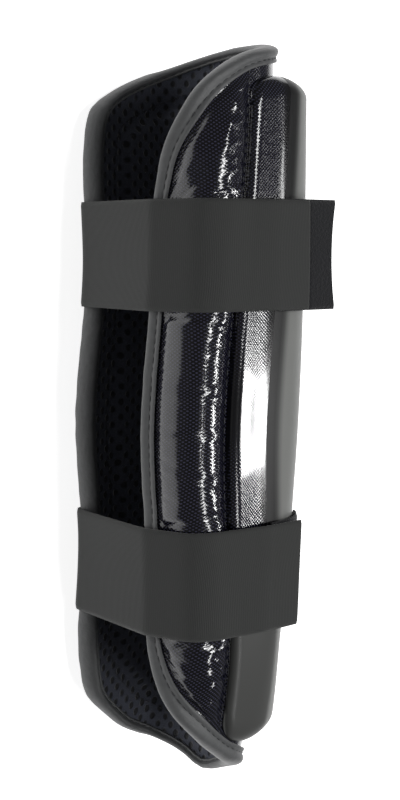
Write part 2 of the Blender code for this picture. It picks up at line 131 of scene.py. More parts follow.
def hollow_outline(height):
    """The hollow at one height: places and outward directions at even shares round it."""
    turn = np.radians(np.linspace(-section_value(height, "near_wrap"),
                                  section_value(height, "far_wrap"), TURN_SAMPLES))
    across, along = np.sin(turn), np.cos(turn)
    near, ahead = across < 0, along > 0
    square = np.where(ahead, FRONT_SQUARE, np.where(near, NEAR_SQUARE, FAR_SQUARE))
    back = HOLLOW_BACK * np.where(near, section_value(height, "near_back"), section_value(height, "far_back"))
    deep = np.where(ahead, HOLLOW_FRONT * section_value(height, "front"), back)
    far_side = HOLLOW_SIDE * section_value(height, "far_side")
    side = np.where(near, HOLLOW_SIDE * section_value(height, "near_side"), far_side)
    x = deep * np.sign(along) * np.abs(along) ** (2 / square) + LEAN * section_value(height, "lean")
    y = side * np.sign(across) * np.abs(across) ** (2 / square)
    limit, ease = FLATTEN * far_side, FLATTEN_EASE * far_side
    mix = np.clip(0.5 + 0.5 * (limit - y) / ease, 0.0, 1.0)
    y = limit * (1 - mix) + y * mix - ease * mix * (1 - mix)
    steps = np.hypot(np.diff(x), np.diff(y))
    travelled = np.concatenate(((0.0,), np.cumsum(steps)))
    near_arc = np.interp(0.0, turn, travelled)
    far_arc = travelled[-1] - near_arc
    signed = travelled - near_arc
    shares = np.where(signed < 0, signed / near_arc, signed / far_arc)
    even = np.linspace(-1.0, 1.0, SHARE_SAMPLES)
    places = np.column_stack((np.interp(even, shares, x), np.interp(even, shares, y)))
    heading = np.gradient(places, axis=0)
    ends = [np.repeat(heading[k][None], WALL_EASE // 2, axis=0) for k in (0, -1)]
    heading = smoothed(heading, np.hanning(WALL_EASE), *ends)
    heading /= np.linalg.norm(heading, axis=1)[:, None]
    return np.column_stack((places, heading[:, 1], -heading[:, 0])), near_arc, far_arc


wall_heights = np.linspace(0.0, GUARD_LENGTH, HEIGHT_SAMPLES)
wall_outlines = [hollow_outline(height) for height in wall_heights]
wall_table = np.array([outline[0] for outline in wall_outlines])
near_arcs = np.array([outline[1] for outline in wall_outlines])
far_arcs = np.array([outline[2] for outline in wall_outlines])


def arc_of(share, height):
    """Signed length round the wall from its middle."""
    near = np.interp(height, wall_heights, near_arcs)
    far = np.interp(height, wall_heights, far_arcs)
    return share * np.where(np.asarray(share) < 0, near, far)


def share_of(arc, height):
    near = np.interp(height, wall_heights, near_arcs)
    far = np.interp(height, wall_heights, far_arcs)
    return arc / np.where(np.asarray(arc) < 0, near, far)


def on_wall(share, height, depth):
    """Points at shares round the wall, straight on past a flap's edge, at depths out from the hollow."""
    share, height, depth = np.broadcast_arrays(*(np.asarray(v, dtype=float) for v in (share, height, depth)))
    held = np.clip(share, -1.0, 1.0)
    column = (held + 1) / 2 * (SHARE_SAMPLES - 1)
    row = np.clip(height / GUARD_LENGTH, 0.0, 1.0) * (HEIGHT_SAMPLES - 1)
    j = np.clip(column.astype(int), 0, SHARE_SAMPLES - 2)
    i = np.clip(row.astype(int), 0, HEIGHT_SAMPLES - 2)
    a, b = (column - j)[..., None], (row - i)[..., None]
    low = wall_table[i, j] * (1 - a) + wall_table[i, j + 1] * a
    high = wall_table[i + 1, j] * (1 - a) + wall_table[i + 1, j + 1] * a
    x, y, out_x, out_y = np.moveaxis(low * (1 - b) + high * b, -1, 0)
    length = np.hypot(out_x, out_y)
    out_x, out_y = out_x / length, out_y / length
    past = arc_of(share, height) - arc_of(held, height)
    return np.stack((x + out_x * depth - out_y * past, y + out_y * depth + out_x * past, height), axis=-1)


def rim_height(share, end):
    share = np.asarray(share, dtype=float)
    near = read_table(RIM, RIM_COLUMNS, "near_" + end, np.abs(share))
    far = read_table(RIM, RIM_COLUMNS, "far_" + end, np.abs(share))
    cut = np.where(share < 0, near, far)
    return GUARD_LENGTH * ((1 - cut) if end == "top" else cut)


RIM_ROUND_SAMPLES = 201
RIM_SIDE_SAMPLES = 61
rim_shares = np.linspace(-1.0, 1.0, RIM_ROUND_SAMPLES)
rim_rise = np.linspace(0.0, 1.0, RIM_SIDE_SAMPLES)[1:-1]
rim_bottom = np.column_stack((rim_shares, rim_height(rim_shares, "bottom")))
rim_top = np.column_stack((rim_shares, rim_height(rim_shares, "top")))[::-1]
rim_far = rim_bottom[-1] + np.outer(rim_rise, rim_top[0] - rim_bottom[-1])
rim_near = rim_top[-1] + np.outer(rim_rise, rim_bottom[0] - rim_top[-1])
rim_loop = np.vstack((rim_bottom, rim_far, rim_top, rim_near))
rim_flat = np.column_stack((arc_of(rim_loop[:, 0], rim_loop[:, 1]), rim_loop[:, 1]))


def rim_inset(share, height):
    """Distance on the unrolled wall from places to the rim."""
    places = np.stack((arc_of(share, height), height), axis=-1).reshape(-1, 2)
    run = np.roll(rim_flat, -1, axis=0) - rim_flat
    nearest = np.full(len(places), 1.0)
    for start, step in zip(rim_flat, run):
        along = np.clip((places - start) @ step / (step @ step), 0.0, 1.0)
        gap = places - start - along[:, None] * step
        nearest = np.minimum(nearest, np.hypot(gap[:, 0], gap[:, 1]))
    return nearest.reshape(np.shape(height))


RIPPLE_WAVES = 14
RIPPLE_SHORTEST = 0.7
RIPPLE_LONGEST = 1.8
RIPPLE_PEAK = 1.5


def ripple(seed, across, along, length):
    """Smooth unevenness from -1 to 1 over two measured directions, from waves of about one length."""
    source = np.random.default_rng(seed)
    total = np.zeros(np.shape(across))
    for _ in range(RIPPLE_WAVES):
        aim = source.uniform(0, 2 * pi)
        wave = 2 * pi / (length * source.uniform(RIPPLE_SHORTEST, RIPPLE_LONGEST))
        total += np.sin(wave * (np.cos(aim) * across + np.sin(aim) * along) + source.uniform(0, 2 * pi))
    return total / RIPPLE_WAVES ** 0.5 / RIPPLE_PEAK


def wall_places(columns, rows):
    """Shares and heights of an even net over the whole wall, with every row running rim to rim."""
    share = np.broadcast_to(np.linspace(-1.0, 1.0, columns), (rows, columns))
    bottom, top = rim_height(share, "bottom"), rim_height(share, "top")
    return share, bottom + np.linspace(0.0, 1.0, rows)[:, None] * (top - bottom)


# The guard is laid on its far side: front to +Y, knee end to -X. The lining's own solid says where.
PLACE_SAMPLES = 81
laid_turn = np.array(((0, 0, -1), (1, 0, 0), (0, -1, 0)), dtype=float)


def place_of_lining():
    share, height = wall_places(PLACE_SAMPLES, PLACE_SAMPLES)
    raised = LINING_RAISE * smooth_step((rim_inset(share, height) - LINING_MARGIN) / LINING_RAISE)
    both = np.concatenate((on_wall(share, height, -raised), on_wall(share, height, LINING_THICKNESS)))
    turned = both.reshape(-1, 3) @ laid_turn.T
    low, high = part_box("mesh_lining")
    return (np.array(low) + np.array(high)) / 2 - (turned.min(axis=0) + turned.max(axis=0)) / 2


laid_at = place_of_lining()


def laid(points):
    return np.asarray(points) @ laid_turn.T + laid_at


def mesh_object(name, points, faces, cloth_mm, material):
    """A mesh in its place, with each corner's place on the flat cloth, in millimetres, as its UV map."""
    mesh = bpy.data.meshes.new(name)
    mesh.from_pydata(laid(points).tolist(), [], faces)
    mesh.update()
    corners = np.empty(len(mesh.loops), dtype=np.int32)
    mesh.loops.foreach_get("vertex_index", corners)
    layer = mesh.uv_layers.new(name="cloth_mm")
    layer.data.foreach_set("uv", np.asarray(cloth_mm, dtype=np.float32)[corners].ravel())
    mesh.polygons.foreach_set("use_smooth", np.ones(len(mesh.polygons), dtype=bool))
    mesh.materials.append(material)
    piece = bpy.data.objects.new(name, mesh)
    bpy.context.scene.collection.objects.link(piece)
    return piece


def net_faces(rows, columns):
    """Numbers of a net's points, and its quads."""
    index = np.arange(rows * columns).reshape(rows, columns)
    quads = np.stack((index[:-1, :-1], index[:-1, 1:], index[1:, 1:], index[1:, :-1]), axis=-1)
    return index, quads.reshape(-1, 4)


def write_share(piece, name, values):
    """Gives both nets of a closed sheet the same share at each point, for its material to read."""
    attribute = piece.data.attributes.new(name, "FLOAT", "POINT")
    attribute.data.foreach_set("value", np.tile(np.ravel(values), 2).astype(np.float32))


def closed_sheet(name, inner, outer, cloth_mm, material):
    """A closed sheet between two nets of points. Rows go up the guard, columns to the far side."""
    rows, columns = inner.shape[:2]
    index, quads = net_faces(rows, columns)
    border = np.concatenate((index[0, :], index[1:, -1], index[-1, -2::-1], index[-2:0:-1, 0]))
    after = np.roll(border, -1)
    outer_from = rows * columns
    sides = np.stack((border, after, after + outer_from, border + outer_from), axis=-1)
    faces = np.vstack((quads[:, ::-1], quads + outer_from, sides))
    points = np.concatenate((inner.reshape(-1, 3), outer.reshape(-1, 3)))
    flat = np.concatenate((cloth_mm.reshape(-1, 2), cloth_mm.reshape(-1, 2)))
    return mesh_object(name, points, faces.tolist(), flat, material)


def linear(code):
    """An sRGB hex colour as linear red, green, blue and alpha."""
    parts = np.array([int(code[k:k + 2], 16) for k in (1, 3, 5)]) / 255
    return (*np.where(parts <= 0.04045, parts / 12.92, ((parts + 0.055) / 1.055) ** 2.4), 1.0)


def give(node, **settings):
    """Sets a node's inputs, each by its name with _ for a space."""
    for name, value in settings.items():
        node.inputs[name.replace("_", " ")].default_value = value


def add(tree, kind, links=(), **settings):
    """Adds a node. A setting is one of its own properties, or else an input by name."""
    node = tree.nodes.new(kind)
    own = {name for name in settings if hasattr(node, name)}
    for name in own:
        setattr(node, name, settings[name])
    give(node, **{name: value for name, value in settings.items() if name not in own})
    for name, source in dict(links).items():
        tree.links.new(source, node.inputs[name])
    return node


def new_finish(name):
    """An empty material with its shader and the piece's flat cloth places in millimetres."""
    material = bpy.data.materials.new(name)
    material.use_nodes = True
    tree = material.node_tree
    return material, tree, tree.nodes["Principled BSDF"], add(tree, "ShaderNodeUVMap", uv_map="cloth_mm")


# Polyester air mesh: matte black yarn knitted round oval holes, 7.6 mm apart along a row.
# Rows are 3.5 mm apart, each shifted by half. The eye sees small dark dots in a soft grey cloth,
# clear in some places and nearly closed in others.
HOLE_PITCH_MM = (3.5, 7.6)
HOLE_SIZE_MM = (2.6, 3.4)
YARN_PER_MM = 1.6
air_mesh, tree, shader, flat = new_finish("knitted_air_mesh")
cell = add(tree, "ShaderNodeVectorMath", {0: flat.outputs[0]}, operation="DIVIDE")
cell.inputs[1].default_value = (2 * HOLE_PITCH_MM[0], HOLE_PITCH_MM[1], 1.0)
holes = []
for shift in ((0.0, 0.0, 0.0), (0.5, 0.5, 0.0)):
    moved = add(tree, "ShaderNodeVectorMath", {0: cell.outputs[0]}, operation="ADD")
    moved.inputs[1].default_value = shift
    inside = add(tree, "ShaderNodeVectorMath", {0: moved.outputs[0]}, operation="FRACTION")
    centred = add(tree, "ShaderNodeVectorMath", {0: inside.outputs[0]}, operation="SUBTRACT")
    centred.inputs[1].default_value = (0.5, 0.5, 0.0)
    sized = add(tree, "ShaderNodeVectorMath", {0: centred.outputs[0]}, operation="MULTIPLY")
    sized.inputs[1].default_value = (4 * HOLE_PITCH_MM[0] / HOLE_SIZE_MM[0],
                                     2 * HOLE_PITCH_MM[1] / HOLE_SIZE_MM[1], 0.0)
    holes.append(add(tree, "ShaderNodeVectorMath", {0: sized.outputs[0]}, operation="LENGTH"))
hole = add(tree, "ShaderNodeMath", {0: holes[0].outputs["Value"], 1: holes[1].outputs["Value"]},
           operation="MINIMUM")
worn = add(tree, "ShaderNodeTexNoise", {"Vector": flat.outputs[0]}, Scale=0.05, Detail=2.0)
clear = add(tree, "ShaderNodeMapRange", {"Value": worn.outputs["Fac"]}, From_Min=0.35, From_Max=0.65,
            To_Min=0.45, To_Max=0.95)
solid = add(tree, "ShaderNodeMapRange", {"Value": hole.outputs[0], "From Min": clear.outputs[0]},
            From_Max=1.2)
yarn = add(tree, "ShaderNodeTexNoise", {"Vector": flat.outputs[0]}, Scale=YARN_PER_MM, Detail=2.0)
yarn_colour = add(tree, "ShaderNodeMix", {"Factor": yarn.outputs["Fac"]}, data_type="RGBA")
give(yarn_colour, A=linear("#202229"), B=linear("#484c5a"))
cloth_colour = add(tree, "ShaderNodeMix", {"Factor": solid.outputs[0], "B": yarn_colour.outputs["Result"]},
                   data_type="RGBA")
give(cloth_colour, A=linear("#0d0e12"))
tree.links.new(cloth_colour.outputs["Result"], shader.inputs["Base Color"])
relief = add(tree, "ShaderNodeBump", {"Height": solid.outputs[0]}, Strength=0.9, Distance=0.0008)
grain = add(tree, "ShaderNodeBump", {"Height": yarn.outputs["Fac"], "Normal": relief.outputs[0]},
            Strength=0.3, Distance=0.0002)
tree.links.new(grain.outputs[0], shader.inputs["Normal"])
give(shader, Roughness=0.85, Sheen_Weight=0.25, Sheen_Roughness=0.5)

LINING_COLUMNS = 150
LINING_ROWS = 170

# Relief of the quilted field: the ridge of the crease round it, the ripple on it, and the share
# of its full height that the thread leaves
CREASE_HEIGHT = 0.0006
CREASE_OUT = 0.0015
CREASE_WIDTH = 0.0012
CREASE_LIMIT = 0.0008
FIELD_RIPPLE = 0.0003
FIELD_RIPPLE_LENGTH = 0.030
FIELD_LEFT = 0.92
share, height = wall_places(LINING_COLUMNS, LINING_ROWS)
inset = rim_inset(share, height)
arc = arc_of(share, height)
cloth_mm = np.stack((arc, height), axis=-1) * 1000
field = smooth_step((inset - LINING_MARGIN) / LINING_RAISE)
crease = np.exp(-((inset - LINING_MARGIN + CREASE_OUT) / CREASE_WIDTH) ** 2)
uneven_field = FIELD_RIPPLE * field * ripple(5, arc, height, FIELD_RIPPLE_LENGTH)
depth = CREASE_HEIGHT * crease + uneven_field - LINING_RAISE * field * FIELD_LEFT
mesh_lining = closed_sheet("mesh_lining_cloth", on_wall(share, height, np.minimum(depth, CREASE_LIMIT)),
                           on_wall(share, height, LINING_THICKNESS), cloth_mm, air_mesh)
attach(mesh_lining, "root")
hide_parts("mesh_lining")

# Bonded polyester thread, 0.55 mm thick, twisted: a soft shine with a slanting grain.
THREAD_THICKNESS = 0.00055
THREAD_TWIST_MM = 0.8
WAVE_SCALE = 0.314
polyester_thread, tree, shader, _ = new_finish("bonded_polyester_thread")
place = add(tree, "ShaderNodeTexCoord")
twist = add(tree, "ShaderNodeTexWave", {"Vector": place.outputs["Object"]}, bands_direction="DIAGONAL",
            Scale=1000 / THREAD_TWIST_MM * WAVE_SCALE, Distortion=0.5)
twisted = add(tree, "ShaderNodeBump", {"Height": twist.outputs["Fac"]}, Strength=0.4, Distance=0.0001)
tree.links.new(twisted.outputs[0], shader.inputs["Normal"])
give(shader, Base_Color=linear("#232427"), Roughness=0.45)


def stitch_tree():
    """Stitches along the edges of a mesh: one oval of thread at every pitch, lying along its row."""
    tree = bpy.data.node_groups.new("stitch_row", "GeometryNodeTree")
    for name, kind in (("Row", "Geometry"), ("Pitch", "Float"), ("Length", "Float"),
                       ("Thickness", "Float"), ("Thread", "Material")):
        tree.interface.new_socket(name=name, in_out="INPUT", socket_type="NodeSocket" + kind)
    tree.interface.new_socket(name="Stitches", in_out="OUTPUT", socket_type="NodeSocketGeometry")
    given = add(tree, "NodeGroupInput")
    path = add(tree, "GeometryNodeMeshToCurve", {0: given.outputs["Row"]})
    spots = add(tree, "GeometryNodeCurveToPoints", {0: path.outputs[0], "Length": given.outputs["Pitch"]},
                mode="LENGTH")
    oval = add(tree, "GeometryNodeMeshUVSphere", Segments=8, Rings=6, Radius=0.5)
    smooth = add(tree, "GeometryNodeSetShadeSmooth", {0: oval.outputs["Mesh"]})
    size = add(tree, "ShaderNodeCombineXYZ", {0: given.outputs["Thickness"], 1: given.outputs["Thickness"],
                                              2: given.outputs["Length"]})
    laid_down = add(tree, "GeometryNodeInstanceOnPoints",
                    {"Points": spots.outputs["Points"], "Instance": smooth.outputs[0],
                     "Rotation": spots.outputs["Rotation"], "Scale": size.outputs[0]})
    real = add(tree, "GeometryNodeRealizeInstances", {0: laid_down.outputs[0]})
    dressed = add(tree, "GeometryNodeSetMaterial", {0: real.outputs[0], "Material": given.outputs["Thread"]})
    add(tree, "NodeGroupOutput", {0: dressed.outputs[0]})
    return tree


stitch_rows = stitch_tree()


def sew(name, rows, pitch, length):
    """A piece of stitches along rows of points."""
    counts = np.cumsum([0] + [len(row) for row in rows])
    edges = [(k, k + 1) for low, high in zip(counts, counts[1:]) for k in range(low, high - 1)]
    mesh = bpy.data.meshes.new(name)
    mesh.from_pydata(laid(np.vstack(rows)).tolist(), edges, [])
    piece = bpy.data.objects.new(name, mesh)
    bpy.context.scene.collection.objects.link(piece)
    sewing = piece.modifiers.new("sewing", "NODES")
    sewing.node_group = stitch_rows
    values = {"Pitch": pitch, "Length": length, "Thickness": THREAD_THICKNESS, "Thread": polyester_thread}
    for item in stitch_rows.interface.items_tree:
        if item.name in values:
            sewing[item.identifier] = values[item.name]
    stitched = piece.evaluated_get(bpy.context.evaluated_depsgraph_get())
    piece.data = bpy.data.meshes.new_from_object(stitched)
    piece.modifiers.clear()
    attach(piece, "root")
    return piece


# The outer cover is black twill with a glossy polyurethane coat, over soft foam. It is sewn
# down beside the front block and under the bound edge, so each flap stands up between its
# seams and puckers where the thread pulls it in.
PAD_EDGE = 0.0035
PAD_FULL = 0.0085
SEAM_GROOVE = 0.0020
SEAM_ROLL = 0.0075
BINDING_CLEAR = 0.0066
BINDING_ROLL = 0.0120

# Coated twill: IOR near 1.5, a smooth film over a weave whose knots lie on a slanting net
# 1.15 mm apart, drawn coarser than real twill so that it shows. It gives sharp highlights
# broken into fine speckle, and the raised knots are painted a lighter blue-grey as a painted
# glint of that speckle.
TWILL_PITCH_MM = 1.15
TWILL_STEP_MM = TWILL_PITCH_MM / 2 ** 0.5
glossy_twill, tree, shader, flat = new_finish("coated_glossy_twill")
spaced = add(tree, "ShaderNodeMapping", {"Vector": flat.outputs[0]},
             Scale=(pi / TWILL_STEP_MM, pi / TWILL_STEP_MM, 1.0))
swung = add(tree, "ShaderNodeVectorMath", {0: spaced.outputs[0]}, operation="SINE")
knots = add(tree, "ShaderNodeSeparateXYZ", {0: swung.outputs[0]})
knot = add(tree, "ShaderNodeMath", {0: knots.outputs["X"], 1: knots.outputs["Y"]}, operation="MULTIPLY")
grit = add(tree, "ShaderNodeTexNoise", {"Vector": flat.outputs[0]}, Scale=0.9, Detail=3.0)
crumple = add(tree, "ShaderNodeTexNoise", {"Vector": flat.outputs[0]}, Scale=0.13, Detail=3.0, Roughness=0.5)
woven = add(tree, "ShaderNodeAttribute", attribute_name="woven")
raised = add(tree, "ShaderNodeMath", {0: knot.outputs[0], 1: woven.outputs["Fac"]}, operation="MULTIPLY")
rough_film = add(tree, "ShaderNodeMath", {0: grit.outputs["Fac"], 1: woven.outputs["Fac"]},
                 operation="MULTIPLY")
loose_film = add(tree, "ShaderNodeMath", {0: crumple.outputs["Fac"], 1: woven.outputs["Fac"]},
                 operation="MULTIPLY")
slack = add(tree, "ShaderNodeBump", {"Height": loose_film.outputs[0]}, Strength=0.15, Distance=0.0012)
uneven = add(tree, "ShaderNodeBump", {"Height": rough_film.outputs[0], "Normal": slack.outputs[0]},
             Strength=0.30, Distance=0.00025)
weave = add(tree, "ShaderNodeBump", {"Height": raised.outputs[0], "Normal": uneven.outputs[0]},
            Strength=0.36, Distance=0.00008)
tree.links.new(weave.outputs[0], shader.inputs["Normal"])
# Painted glint: the raised knots of the weave are painted a lighter blue-grey, standing in for the sparkle of
# light on them
painted_glint = add(tree, "ShaderNodeMapRange", {"Value": raised.outputs[0]}, From_Min=0.1, From_Max=0.8)
film = add(tree, "ShaderNodeMix", {"Factor": painted_glint.outputs[0]}, data_type="RGBA")
give(film, A=linear("#050507"), B=linear("#343446"))
tree.links.new(film.outputs["Result"], shader.inputs["Base Color"])
rubbed = add(tree, "ShaderNodeMapRange", {"Value": grit.outputs["Fac"]}, To_Min=0.11, To_Max=0.20)
tree.links.new(rubbed.outputs[0], shader.inputs["Roughness"])
give(shader, IOR=1.5, Coat_Weight=0.3, Coat_Roughness=0.06)

COVER_COLUMNS = 113
COVER_ROWS = 200

# Where the net's columns lie: few under the block, and close together in the groove beside it
GROOVE_FROM = 0.38
GROOVE_TO = 0.62
GROOVE_SHARES = (-0.015, 0.125)


def cover_places():
    """Shares and heights of the cover's net, closer together beside the block's seams."""
    column = np.linspace(-1.0, 1.0, COVER_COLUMNS)
    across = np.broadcast_to(np.abs(column), (COVER_ROWS, COVER_COLUMNS))
    share, height = wall_places(COVER_COLUMNS, COVER_ROWS)
    rise = np.linspace(0.0, 1.0, COVER_ROWS)[:, None]
    for _ in range(4):
        seam = section_value(height, "seam")
        start, end = seam + GROOVE_SHARES[0], seam + GROOVE_SHARES[1]
        under = across / GROOVE_FROM * start
        beside = start + (across - GROOVE_FROM) / (GROOVE_TO - GROOVE_FROM) * (end - start)
        beyond = end + (across - GROOVE_TO) / (1 - GROOVE_TO) * (1 - end)
        size = np.where(across < GROOVE_FROM, under, np.where(across < GROOVE_TO, beside, beyond))
        share = np.sign(column) * size
        bottom, top = rim_height(share, "bottom"), rim_height(share, "top")
        height = bottom + rise * (top - bottom)
    return share, height


def past_seam(share, height):
    """Length round the wall from the block's seam out to a place."""
    seam = section_value(height, "seam")
    return np.abs(arc_of(share, height)) - np.abs(arc_of(np.where(share < 0, -seam, seam), height))


def cover_depth(share, height, inset):
    """Thickness of the cover as its foam shapes it: a quick swell at the seam, a slow one at the rim."""
    beside = np.clip((past_seam(share, height) - SEAM_GROOVE) / SEAM_ROLL, 0.0, 1.0)
    swell = (1 - (1 - beside) ** 2) ** 0.5 * smooth_step((inset - BINDING_CLEAR) / BINDING_ROLL)
    return PAD_EDGE + (PAD_FULL - PAD_EDGE) * swell


# The foam stands up to a share of its full thickness, and the cloth over it is settled 20 times
# as large as it is, as the solver needs, and rises no more than 1.9 mm
FOAM_SHARE = 0.86
CLOTH_SCALE = 20.0
CLOTH_PRESSURE = 20.0
CLOTH_MASS = 0.05
CLOTH_SLACK = 0.035
CLOTH_FRAMES = 20
CLOTH_RISE = 0.0019
HOLD_STEPS = 8

# The slack cloth crumples into sharp creases about 14 mm apart, past the straps at both ends
CRUMPLE_HEIGHT = 0.0011
CRUMPLE_LENGTH = 0.014
CRUMPLE_MIDDLE = 0.188
CRUMPLE_PAST = 0.088
CRUMPLE_WITHIN = 0.015
CRUMPLE_ACROSS = 1.6


def puffed(net, held):
    """The net settled as cloth over pressed foam, fast where it is sewn or strapped down."""
    _, quads = net_faces(*net.shape[:2])
    mesh = bpy.data.meshes.new("cover_cloth")
    mesh.from_pydata((net.reshape(-1, 3) * CLOTH_SCALE).tolist(), [], quads.tolist())
    cloth = bpy.data.objects.new("cover_cloth", mesh)
    bpy.context.scene.collection.objects.link(cloth)
    sewn = cloth.vertex_groups.new(name="sewn")
    hold = np.round(held.ravel() * HOLD_STEPS) / HOLD_STEPS
    for weight in np.unique(hold[hold > 0]):
        sewn.add(np.flatnonzero(hold == weight).tolist(), float(weight), "REPLACE")
    modifier = cloth.modifiers.new("cloth", "CLOTH")
    modifier.point_cache.frame_end = CLOTH_FRAMES
    settings = modifier.settings
    settings.vertex_group_mass = "sewn"
    settings.mass = CLOTH_MASS
    settings.bending_stiffness = 0.05
    settings.use_pressure = True
    settings.uniform_pressure_force = CLOTH_PRESSURE
    settings.shrink_min = -CLOTH_SLACK
    settings.effector_weights.gravity = 0.0
    for step in range(1, CLOTH_FRAMES + 1):
        bpy.context.scene.frame_set(step)
    settled = cloth.evaluated_get(bpy.context.evaluated_depsgraph_get())
    moved = np.empty(net.size, dtype=np.float32)
    settled.data.vertices.foreach_get("co", moved)
    move = moved.reshape(net.shape) / CLOTH_SCALE - net
    bpy.data.objects.remove(cloth, do_unlink=True)
    bpy.context.scene.frame_set(1)
    length = np.linalg.norm(move, axis=-1, keepdims=True)
    return net + move * np.minimum(1.0, CLOTH_RISE / np.maximum(length, 1e-9))


share, height = cover_places()
inset = rim_inset(share, height)
arc = arc_of(share, height)
cloth_mm = np.stack((arc, height), axis=-1) * 1000
STRAP_WIDTH = 0.050
FREE_FROM = 0.001
FREE_WITHIN = 0.009
LOOSE_WITHIN = 0.002
UPPER_STRAP_AT = 0.728
LOWER_STRAP_AT = 0.3090
strap_centres = [GUARD_LENGTH * at for at in (UPPER_STRAP_AT, LOWER_STRAP_AT)]
from_strap = np.min([np.abs(height - centre) for centre in strap_centres], axis=0) - STRAP_WIDTH / 2
free = smooth_step((from_strap + FREE_FROM) / FREE_WITHIN)
full = cover_depth(share, height, inset)
foam = PAD_EDGE + (full - PAD_EDGE) * (1 - (1 - FOAM_SHARE) * free)
cover_from = LINING_THICKNESS + GAP
cover_net = on_wall(share, height, cover_from + foam)
loose = np.minimum(past_seam(share, height) - 0.7 * SEAM_GROOVE, inset - 0.9 * BINDING_CLEAR) / LOOSE_WITHIN
cover_net = puffed(cover_net, 1 - np.minimum(free, smooth_step(loose)))
past_strap = smooth_step((np.abs(height - CRUMPLE_MIDDLE) - CRUMPLE_PAST) / CRUMPLE_WITHIN)
crumples = 0.5 - np.abs(ripple(8, arc, height * CRUMPLE_ACROSS, CRUMPLE_LENGTH))
crumpled = CRUMPLE_HEIGHT * past_strap * smooth_step(loose / 2) * crumples
foam_top = cover_from + foam
cover_net = cover_net + on_wall(share, height, foam_top + crumpled) - on_wall(share, height, foam_top)
cover_pad = closed_sheet("cover_pad_twill", on_wall(share, height, cover_from), cover_net, cloth_mm,
                         glossy_twill)
write_share(cover_pad, "woven", np.ones(share.shape))
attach(cover_pad, "root")
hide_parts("cover_pad")


# The front block is a thick moulded foam. Its sides are covered in the same glossy twill and
# its front in a satin film, pressed together in the mould. The cover is turned under and sewn
# through the guard along both sides and round both ends.
BLOCK_SIDE = 0.0475
BLOCK_FAR_SIDE = 0.0486
BLOCK_FRONT = 0.0512
BLOCK_EDGE = 0.0008
BLOCK_SIDE_ROUND = 0.0045
BLOCK_END_ROUND = 0.0095
BLOCK_TOP = 0.958
BLOCK_BOTTOM = 0.079
BLOCK_SQUARE = 3.0
BLOCK_FAR_SQUARE = 6.0
BLOCK_TOP_CORNER = 0.027
BLOCK_BOTTOM_CORNER = 0.042
BLOCK_CORNER_FROM = 0.62
BLOCK_COLUMNS = 111
BLOCK_ROWS = 171
BLOCK_GAP = 0.00005
HALVINGS = 24
OUT_STEP = 0.001

# The moulded front face is smooth, and the weave shows only on the two sides. The film is
# stretched smooth halfway up the sides, and at the ankle.
WEAVE_FROM = 0.72
WEAVE_TO = 0.80
SATIN_TO = 0.72
STRETCHED_AT = 0.190
STRETCHED_REACH = 0.026
STRETCHED_SHARE = 0.8
WEAVE_LOWEST = 0.085
WEAVE_LOWEST_WITHIN = 0.012

# How much longer the block's cover is than the wall under it, and how uneven its foam is: a
# little on the front, more on the sides, and nothing where it thins out at its foot
BLOCK_FULLNESS = 1.25
FRONT_RIPPLE = 0.00005
SIDE_RIPPLE = 0.00020
BLOCK_RIPPLE_LENGTH = 0.030
FIRM_FROM = 0.006

# The moulded face is a satin polyurethane film pressed smooth in the mould: no weave and a
# broad dull shine. Its colour holds painted light: painted black where it rounds into the sides,
# as painted shade, and painted grey on its front and partly at the ankle end, as a painted
# reflection of the pale surroundings.
FACE_FROM = 0.60
FACE_TO = 0.66
ANKLE_FACE = 0.3
satin_film, tree, shader, flat = new_finish("moulded_satin_film")
pressed = add(tree, "ShaderNodeTexNoise", {"Vector": flat.outputs[0]}, Scale=0.06, Detail=2.0)
soft = add(tree, "ShaderNodeBump", {"Height": pressed.outputs["Fac"]}, Strength=0.2, Distance=0.0006)
tree.links.new(soft.outputs[0], shader.inputs["Normal"])
front_face = add(tree, "ShaderNodeAttribute", attribute_name="front_face")
# Painted reflection and shade in the base colour: grey where front_face is 1, black at the rounding
painted_face_reflection = add(tree, "ShaderNodeMix", {"Factor": front_face.outputs["Fac"]}, data_type="RGBA")
give(painted_face_reflection, A=linear("#0a0a0b"), B=linear("#6e6f6d"))
tree.links.new(painted_face_reflection.outputs["Result"], shader.inputs["Base Color"])
give(shader, Roughness=0.45, Specular_IOR_Level=0.30)


def block_ends(turn):
    """Heights of the block's two ends at shares of its half width, with rounded corners."""
    past = np.clip((np.abs(turn) - BLOCK_CORNER_FROM) / (1 - BLOCK_CORNER_FROM), 0.0, 1.0)
    drop = GUARD_LENGTH * (1 - (1 - past ** 2) ** 0.5)
    bottom = GUARD_LENGTH * BLOCK_BOTTOM + BLOCK_BOTTOM_CORNER * drop
    return bottom, GUARD_LENGTH * BLOCK_TOP - BLOCK_TOP_CORNER * drop


